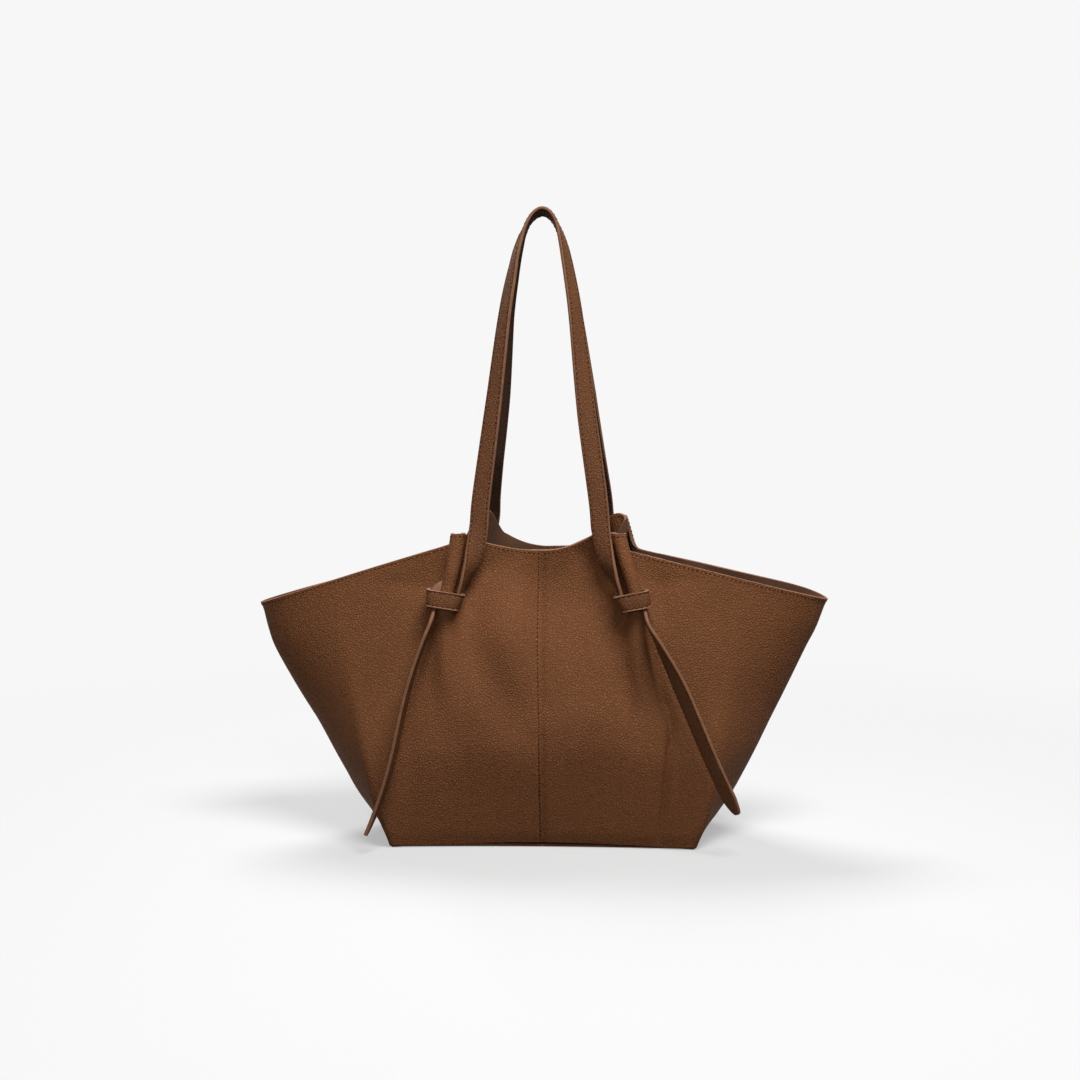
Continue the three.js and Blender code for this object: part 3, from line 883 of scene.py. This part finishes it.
def handle_stations(lean, out):
    legs = np.array(HANDLE_PATH, float)
    left, right = legs[:, [0, 1, 2, 4, 3]], legs[-2::-1, [0, 1, 2, 5, 3]]
    path = spline(np.vstack([left * [-1, 1, 1, 1, 1], right]), HANDLE_STEPS)
    path[:, 0] += np.interp(path[:, 2], *np.array(lean).T)
    path[:, 1] -= profile(out, path[:, 2])
    place, turn, width = path[:, :3], np.radians(path[:, 3]), path[:, 4]
    tangent = unit(np.gradient(place, axis=0))
    aside = unit(np.column_stack([-tangent[:, 2], np.zeros(len(path)), tangent[:, 0]]))
    front = unit(np.cross(tangent, aside))
    normal = front * np.cos(turn)[:, None] + aside * np.sin(turn)[:, None]
    across = unit(np.cross(normal, tangent))
    return place, across, normal, width, np.zeros(len(path))


def add_handles(looks):
    front = handle_stations(**HANDLES["front"])
    rear = turned(handle_stations(**HANDLES["rear"]))
    for name, stations, flip in (("front", front, 1), ("rear", rear, -1)):
        strap = strap_mesh(f"{name}_handle_strap", stations, looks)
        lines = strap_stitch_lines(stations, HANDLE_STEPS, -HANDLE_STEPS)
        stitches = stitch_mesh(f"{name}_handle_stitches", lines, STRAP_PITCH, looks["thread"])
        for piece in (strap, stitches):
            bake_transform(piece)
        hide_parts(f"{name}_handle_outer_ply", f"{name}_handle_lining_ply")


# Tails

def tail_path(side):
    """Points of a tail's middle line, from inside the knot down to the tip."""
    facts = TAILS[side]
    top = np.array(TAIL_TOP) * [side, 1, 1]
    tip = np.array(facts["tip"], float)
    middle = (top + tip) / 2 + facts["bow"] * np.array([side, 0, 1]) - [0, TAIL_PUSH, 0]
    t = np.linspace(0.0, 1.0, TAIL_POINTS)[:, None]
    hang = (1 - t) ** 2 * top + 2 * t * (1 - t) * middle + t ** 2 * tip
    hang[:, 0] += side * facts["wave"] * np.sin(2 * math.pi * t[:, 0])
    return spline(np.vstack([facts["start"], hang]), TAIL_STEPS)


def tail_stations(side):
    facts = TAILS[side]
    place = tail_path(side)
    z = place[:, 2]
    tangent = unit(np.gradient(place, axis=0))
    length = along_length(place)
    left = length[-1] - length
    hung = smooth(TAIL_TOP[2] + TAIL_TURN_ABOVE, TAIL_TOP[2] - facts["turned_by"], z)
    turn = mix(TAIL_TOP_TURN, facts["turn"], hung) + TAIL_KNOT_TURN * smooth(*TAIL_KNOT_TURN_Z, z)
    turn = np.radians(turn)
    edge = np.column_stack([side * np.sin(turn), -np.cos(turn), np.zeros(len(turn))])
    normal = -side * unit(np.cross(edge, tangent))
    across = unit(np.cross(normal, tangent))
    taper = mix(facts["point"], 1.0, np.clip(left / facts["cut"], 0.0, 1.0) ** TAIL_CUT_POWER)
    squeezed = mix(1.0, TAIL_SQUEEZE, smooth(*TAIL_SQUEEZE_Z, z))
    pointed = mix(TAIL_FLAP_POINT, 1.0, np.clip(length / facts["flap"], 0.0, 1.0))
    width = np.minimum(np.minimum(taper, squeezed), pointed)
    forward = np.sign((across * edge).sum(axis=1))
    slide = forward * facts["skew"] * STRAP_HALF_WIDTH * (1 - taper)
    return place, across, normal, width, slide


def add_tail(body, stations, facts, looks):
    strap = strap_mesh(f"{body}_strap", stations, looks, bare=facts["bare"])
    lines = strap_stitch_lines(stations, facts["sewn_from"], TAIL_SEWN_TO)
    stitches = stitch_mesh(f"{body}_stitches", lines, STRAP_PITCH, looks["thread"])
    for piece in (strap, stitches):
        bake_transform(piece)
    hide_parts(f"{body}_outer_ply", f"{body}_lining_ply")


def add_tails(looks):
    for side, facts in TAILS.items():
        stations = tail_stations(side)
        add_tail(f"front_{SIDES[side]}_tail", stations, facts, looks)
        add_tail(f"rear_{SIDES[-side]}_tail", turned(stations), facts, looks)


# Knots

def loop_tangent(place):
    return unit(np.roll(place, -1, axis=0) - np.roll(place, 1, axis=0))


def knot_stations(side):
    """Stations of the band round a pleat, an ellipse with squared ends, worked out on the right side."""
    facts = KNOTS[side]
    angle = np.linspace(0, 2 * math.pi, KNOT_STEPS, endpoint=False)
    power = 2 / KNOT_SQUARENESS
    c, s = np.cos(angle), np.sin(angle)
    flat_x = facts["half_x"] * np.sign(c) * np.abs(c) ** power
    flat_y = KNOT_HALF_Y * np.sign(s) * np.abs(s) ** power
    lift = flat_x * math.tan(math.radians(facts["tilt"]))
    place = np.column_stack([facts["x"] + flat_x, KNOT_Y + flat_y, KNOT_Z + lift])
    t = (flat_x / facts["half_x"] + 1) / 2
    slant = mix(facts["inner_slant"], facts["outer_slant"], t) / (2 * STRAP_HALF_WIDTH)
    front = np.clip(-flat_y / KNOT_HALF_Y, 0.0, 1.0)
    across = unit(np.column_stack([slant, -facts["pitch"] * front, -np.ones(len(t))]))
    place[:, 0] += slant * KNOT_SLIDE
    normal = unit(np.cross(across, loop_tangent(place)))
    normal *= np.sign((normal * np.column_stack([flat_x, flat_y, 0 * t])).sum(axis=1))[:, None]
    mirror = np.array([side, 1.0, 1.0])
    place, normal = place * mirror, normal * mirror
    across = unit(np.cross(normal, loop_tangent(place)))
    return place, across, normal, np.full(len(t), KNOT_WIDTH), np.zeros(len(t))


def add_knot(node, stations, looks):
    band = strap_mesh(f"{node}_band", stations, looks, closed=True)
    lines = strap_stitch_lines(stations, both=False)
    stitches = stitch_mesh(f"{node}_stitches", lines, STRAP_PITCH, looks["thread"])
    for piece in (band, stitches):
        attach(piece, "bag")
    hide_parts(f"{node}_outer_ply", f"{node}_lining_ply")


def add_knots(looks):
    for side in KNOTS:
        stations = knot_stations(side)
        add_knot(f"front_{SIDES[side]}_knot", stations, looks)
        add_knot(f"rear_{SIDES[-side]}_knot", turned(stations), looks)


# Materials

class Nodes:
    """Short way to add and join shader nodes of one material or world."""

    def __init__(self, owner):
        owner.use_nodes = True
        self.owner = owner
        self.tree = owner.node_tree
        self.tree.nodes.clear()

    def feed(self, socket, value):
        """Link a socket to another one, or set its value."""
        if isinstance(value, bpy.types.NodeSocket):
            self.tree.links.new(value, socket)
        else:
            socket.default_value = value

    def add(self, kind, settings=None, **inputs):
        node = self.tree.nodes.new(kind)
        for key, value in (settings or {}).items():
            setattr(node, key, value)
        for key, value in inputs.items():
            self.feed(node.inputs[key.replace("_", " ")], value)
        return node

    def place(self):
        return self.add("ShaderNodeTexCoord").outputs["Object"]

    def noise(self, where, scale, detail, output="Fac"):
        return self.add("ShaderNodeTexNoise", Vector=where, Scale=scale, Detail=detail).outputs[output]

    def bump(self, height, strength, distance):
        return self.add("ShaderNodeBump", Strength=strength, Distance=distance, Height=height).outputs[0]

    def ramp(self, value, stops):
        """Shades of grey between stops of place and shade."""
        node = self.add("ShaderNodeValToRGB", Fac=value)
        elements = node.color_ramp.elements
        while len(elements) < len(stops):
            elements.new(0.5)
        for element, (place, shade) in zip(elements, stops):
            element.position = place
            element.color = opaque(grey(shade))
        return node.outputs["Color"]

    def mix(self, factor, a, b, blend="MIX"):
        node = self.add("ShaderNodeMix", {"data_type": "RGBA", "blend_type": blend})
        for socket, value in ((node.inputs[0], factor), (node.inputs[6], a), (node.inputs[7], b)):
            self.feed(socket, opaque(value) if isinstance(value, tuple) else value)
        return node.outputs[2]

    def math(self, operation, a, b):
        node = self.add("ShaderNodeMath", {"operation": operation})
        for socket, value in zip(node.inputs, (a, b)):
            self.feed(socket, value)
        return node.outputs[0]

    def blend(self, factor, a, b):
        node = self.add("ShaderNodeMixShader", Fac=factor)
        self.feed(node.inputs[1], a.outputs[0])
        self.feed(node.inputs[2], b.outputs[0])
        return node

    def finish(self, shader, output="ShaderNodeOutputMaterial"):
        self.add(output, Surface=shader.outputs[0])
        return self.owner

    def surface(self, colour, rough, lift, shine, sheen=0.0):
        """Finish a material whose surface has this colour, roughness, bump, shine and sheen."""
        return self.finish(self.add("ShaderNodeBsdfPrincipled", Base_Color=colour, Roughness=rough,
                                    Normal=lift, Specular_IOR_Level=shine, Sheen_Weight=sheen))


def grey(shade):
    return (shade, shade, shade)


def opaque(colour):
    return (*colour, 1.0)


def leather(name, colour, crease, cell, bump, rough, shine):
    """Pebbled leather: rounded cells with darker creases, fine pores and slow colour variation."""
    n = Nodes(bpy.data.materials.new(name))
    where = n.place()
    bent = n.add("ShaderNodeVectorMath", {"operation": "MULTIPLY_ADD"})
    n.feed(bent.inputs[0], n.noise(where, cell * 0.45, 2.0, "Color"))
    n.feed(bent.inputs[1], grey(0.6 / cell))
    n.feed(bent.inputs[2], where)
    place = bent.outputs[0]
    cells = n.add("ShaderNodeTexVoronoi", {"feature": "DISTANCE_TO_EDGE"}, Vector=place, Scale=cell)
    pebble = n.ramp(cells.outputs["Distance"], [(0.0, 0.0), (0.1, 0.4), (0.25, 0.8), (0.45, 1.0)])
    tint = n.add("ShaderNodeTexVoronoi", {"feature": "F1"}, Vector=place, Scale=cell)
    pores = n.noise(where, cell * 4.0, 3.0)
    slow = n.noise(where, 9.0, 3.0)
    base = n.mix(pebble, crease, colour)
    base = n.mix(1.0, base, n.ramp(tint.outputs["Color"], [(0.0, 0.92), (1.0, 1.05)]), "MULTIPLY")
    base = n.mix(1.0, base, n.ramp(slow, [(0.3, 0.9), (0.7, 1.08)]), "MULTIPLY")
    height = n.math("ADD", pebble, n.math("MULTIPLY", pores, 0.35))
    gloss = n.ramp(pebble, [(0.0, rough + 0.2), (1.0, rough)])
    return n.surface(base, gloss, n.bump(height, bump, 0.0006), shine)


def suede(name, colour, dark):
    """Brushed flesh side of the leather: fine nap with cloudy shading."""
    n = Nodes(bpy.data.materials.new(name))
    where = n.place()
    nap = n.noise(where, 1400.0, 4.0)
    cloud = n.noise(where, 35.0, 4.0)
    base = n.mix(n.ramp(cloud, [(0.3, 0.0), (0.7, 1.0)]), dark, colour)
    base = n.mix(1.0, base, n.ramp(nap, [(0.25, 0.75), (0.75, 1.2)]), "MULTIPLY")
    return n.surface(base, 0.92, n.bump(nap, 0.35, 0.0004), shine=0.06, sheen=0.02)


def painted_edge(name, colour, worn):
    """Edge paint over cut leather, a little uneven and rubbed."""
    n = Nodes(bpy.data.materials.new(name))
    where = n.place()
    rub = n.noise(where, 160.0, 4.0)
    fine = n.noise(where, 1100.0, 2.0)
    base = n.mix(n.ramp(rub, [(0.35, 0.0), (0.7, 1.0)]), colour, worn)
    return n.surface(base, 0.6, n.bump(fine, 0.2, 0.0003), shine=0.12)


def thread(name, colour, light):
    """Twisted sewing thread."""
    n = Nodes(bpy.data.materials.new(name))
    bands = {"wave_type": "BANDS", "bands_direction": "DIAGONAL"}
    wave = n.add("ShaderNodeTexWave", bands, Vector=n.place(), Scale=900.0, Distortion=2.0)
    twist = wave.outputs["Fac"]
    base = n.mix(twist, colour, light)
    return n.surface(base, 0.9, n.bump(twist, 0.4, 0.0002), shine=0.05)


def make_looks():
    return {
        "leather": leather("pebbled_leather", (0.170, 0.068, 0.0270), (0.118, 0.045, 0.0178),
                           cell=440.0, bump=0.75, rough=0.52, shine=0.06),
        "strap": leather("strap_leather", (0.128, 0.050, 0.0195), (0.086, 0.033, 0.0125),
                         cell=500.0, bump=0.8, rough=0.52, shine=0.10),
        # The strap lining is a darker leather, and its dark brown is also painted shade: it stands in for
        # the shade on the rear handle's inner face and beside the left front tail.
        "lining": leather("strap_lining", (0.052, 0.029, 0.019), (0.034, 0.018, 0.012),
                          cell=700.0, bump=0.3, rough=0.7, shine=0.06),
        # Inside of the bag: the facing and the flesh side are dark brown suede, darkened further as painted
        # shade for the shade inside the bag.
        "facing": suede("facing_leather", (0.098, 0.050, 0.029), (0.060, 0.030, 0.017)),
        "suede": suede("flesh_side_and_painted_shade", (0.080, 0.040, 0.022), (0.048, 0.024, 0.013)),
        "edge": painted_edge("painted_edge", (0.130, 0.058, 0.030), (0.166, 0.075, 0.040)),
        # Dark brown thread; the wide beads made of it also paint the shade in the stitch holes.
        "thread": thread("thread", (0.034, 0.014, 0.007), (0.052, 0.022, 0.011)),
        "board": suede("board_cover", (0.060, 0.038, 0.026), (0.038, 0.023, 0.015)),
    }


# Stage

def plain_view(n):
    """One for rays from the camera, reflections and refractions, which see the plain background."""
    path = n.add("ShaderNodeLightPath")
    mirrored = n.math("MAXIMUM", path.outputs["Is Glossy Ray"], path.outputs["Is Transmission Ray"])
    return n.math("MAXIMUM", path.outputs["Is Camera Ray"], mirrored)


def floor_material():
    """Pale floor that keeps the shadow near the bag and fades to the plain background further out."""
    n = Nodes(bpy.data.materials.new("pale_floor"))
    far = n.add("ShaderNodeVectorMath", {"operation": "LENGTH"}, Vector=n.place())
    fade = n.add("ShaderNodeMapRange", {"interpolation_type": "SMOOTHSTEP"}, Value=far.outputs["Value"],
                 From_Min=FLOOR_FADE[0], From_Max=FLOOR_FADE[1], To_Min=FLOOR_LEAST_FADE)
    seen = plain_view(n)
    matte = n.add("ShaderNodeBsdfDiffuse", Color=n.mix(seen, grey(FLOOR_BOUNCE_GREY), grey(FLOOR_GREY)))
    plain = n.add("ShaderNodeEmission", Color=opaque(grey(BACKGROUND_GREY)), Strength=1.0)
    return n.finish(n.blend(n.math("MULTIPLY", fade.outputs[0], seen), matte, plain))


def add_floor():
    t = np.linspace(0, 2 * math.pi, FLOOR_SIDES, endpoint=False)
    rim = np.column_stack([np.cos(t), np.sin(t), np.zeros(FLOOR_SIDES)]) * FLOOR_RADIUS
    floor = add_mesh("floor", rim, [tuple(range(FLOOR_SIDES))], [floor_material()])


def add_world():
    world = bpy.data.worlds.new("studio")
    bpy.context.scene.world = world
    n = Nodes(world)
    soft = n.add("ShaderNodeBackground", Color=opaque(grey(1.0)), Strength=SOFT_LIGHT)
    plain = n.add("ShaderNodeBackground", Color=opaque(grey(BACKGROUND_GREY)))
    n.finish(n.blend(plain_view(n), soft, plain), "ShaderNodeOutputWorld")


def add_lamp(name, place, size, power):
    data = bpy.data.lights.new(name, "AREA")
    data.shape = "RECTANGLE"
    data.size, data.size_y = size
    data.energy = power
    lamp = bpy.data.objects.new(name, data)
    lamp.location = place
    lamp.rotation_euler = (Vector(LAMP_AIM) - Vector(place)).to_track_quat("-Z", "Y").to_euler()
    bpy.context.scene.collection.objects.link(lamp)


def add_camera():
    yaw, lift = math.radians(CAMERA_YAW), math.radians(CAMERA_ELEVATION)
    back = Vector((math.sin(yaw) * math.cos(lift), -math.cos(yaw) * math.cos(lift), math.sin(lift)))
    data = bpy.data.cameras.new("camera")
    data.sensor_width = SENSOR
    data.lens = SENSOR * CAMERA_DISTANCE / FRAME_WIDTH
    camera = bpy.data.objects.new("camera", data)
    camera.location = Vector(CAMERA_TARGET) + back * CAMERA_DISTANCE
    camera.rotation_euler = (-back).to_track_quat("-Z", "Y").to_euler()
    bpy.context.scene.collection.objects.link(camera)
    bpy.context.scene.camera = camera


def main():
    bpy.context.scene.view_settings.view_transform = "Standard"
    looks = make_looks()
    for side in SIDES:
        add_half(side, looks)
    add_base(looks)
    add_handles(looks)
    add_knots(looks)
    add_tails(looks)
    add_floor()
    add_world()
    for name, (place, size, power) in LAMPS.items():
        add_lamp(name, place, size, power)
    add_camera()


main()
